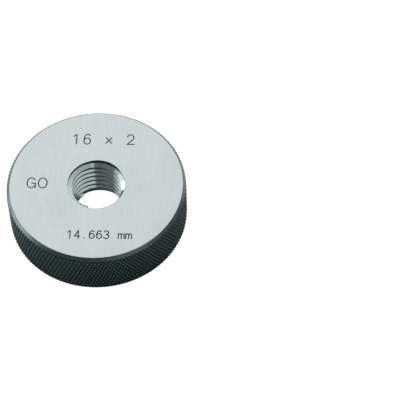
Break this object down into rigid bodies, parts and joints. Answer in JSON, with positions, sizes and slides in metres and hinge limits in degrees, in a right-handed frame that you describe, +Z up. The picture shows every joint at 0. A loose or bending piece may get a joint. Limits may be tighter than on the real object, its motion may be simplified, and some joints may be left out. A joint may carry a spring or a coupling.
{
  "type": "thread ring gauge",
  "caption": "Round steel ring with a knurled rim, ground faces and a right-hand M16 x 2 internal thread, turned onto a screw to check its thread.",
  "frame": {"origin": "centre of the lower face, on the axis of the thread", "axes": "+Z up along the thread's axis, from the lower face to the marked upper face; -Y towards the reader of the marks; +X to the reader's right"},
  "size_m": [0.05, 0.05, 0.015],
  "materials": {
    "gauge_steel": "ground faces and thread, black-oxide knurled rim and edge chamfers"
  },
  "bodies": {
    "root": {"gauge_ring": "gauge_steel"}
  },
  "joints": []
}
